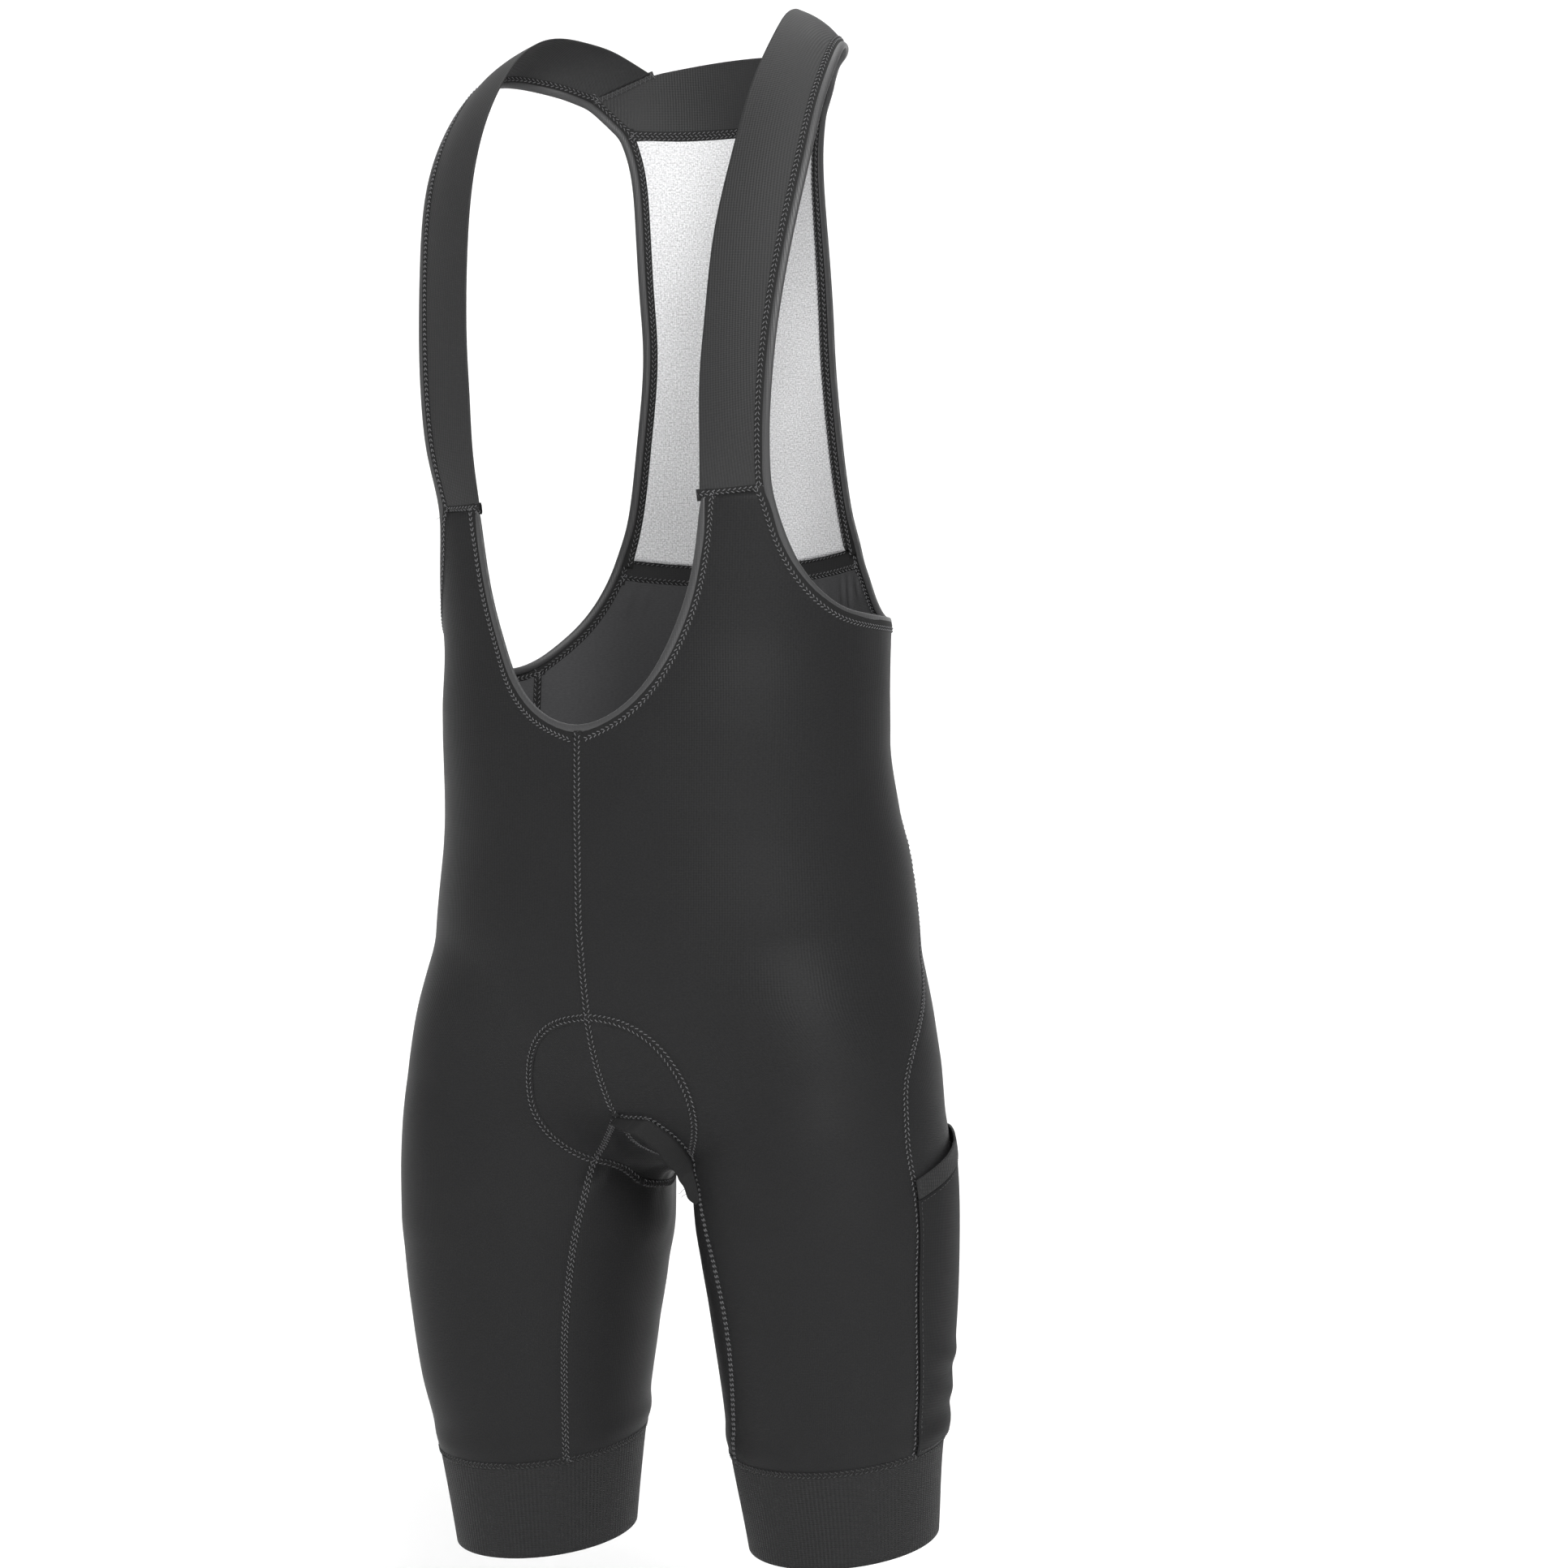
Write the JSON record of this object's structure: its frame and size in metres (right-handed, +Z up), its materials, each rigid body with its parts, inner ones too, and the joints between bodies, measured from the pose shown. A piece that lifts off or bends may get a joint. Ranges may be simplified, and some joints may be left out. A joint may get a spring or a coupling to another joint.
{
  "type": "cycling bib shorts",
  "caption": "Black cycling bib shorts in their worn hollow form, with elastic straps, a grey mesh back, gripper hems and a pocket on each thigh.",
  "frame": {"origin": "between the tops of the two shoulder straps, in the middle plane, where the wearer's shoulders hold it up", "axes": "+Z up the wearer's body, the front faces -Y, and the wearer's left side is +X"},
  "size_m": [0.3682, 0.2295, 0.9379],
  "materials": {
    "main_knit": "smooth satin stretch knit, near black",
    "gripper_elastic": "matt ribbed elastic, near black",
    "strap_elastic": "matt fine-ribbed elastic, near black",
    "mesh": "fine open warp-knit mesh, light grey",
    "tape_knit": "matt flat tape, near black",
    "pocket_knit": "matt knit with a fine crosswise grain, charcoal",
    "pocket_elastic": "heathered folded elastic, near black",
    "binding": "folded shiny elastic binding, dark grey"
  },
  "bodies": {
    "root": {"front_left": "main_knit", "front_right": "main_knit", "back_left": "main_knit", "back_right": "main_knit", "inner_left": "main_knit", "inner_right": "main_knit", "hem_band_left": "gripper_elastic", "hem_band_right": "gripper_elastic", "strap_left": "strap_elastic", "strap_right": "strap_elastic", "yoke": "strap_elastic", "back_mesh": "mesh", "mesh_edge_strip": "tape_knit", "back_tape": "tape_knit", "pocket_left": "pocket_knit", "pocket_right": "pocket_knit", "pocket_band_left": "pocket_elastic", "pocket_band_right": "pocket_elastic", "neck_binding": "binding", "armhole_binding_left": "binding", "armhole_binding_right": "binding"}
  },
  "joints": []
}
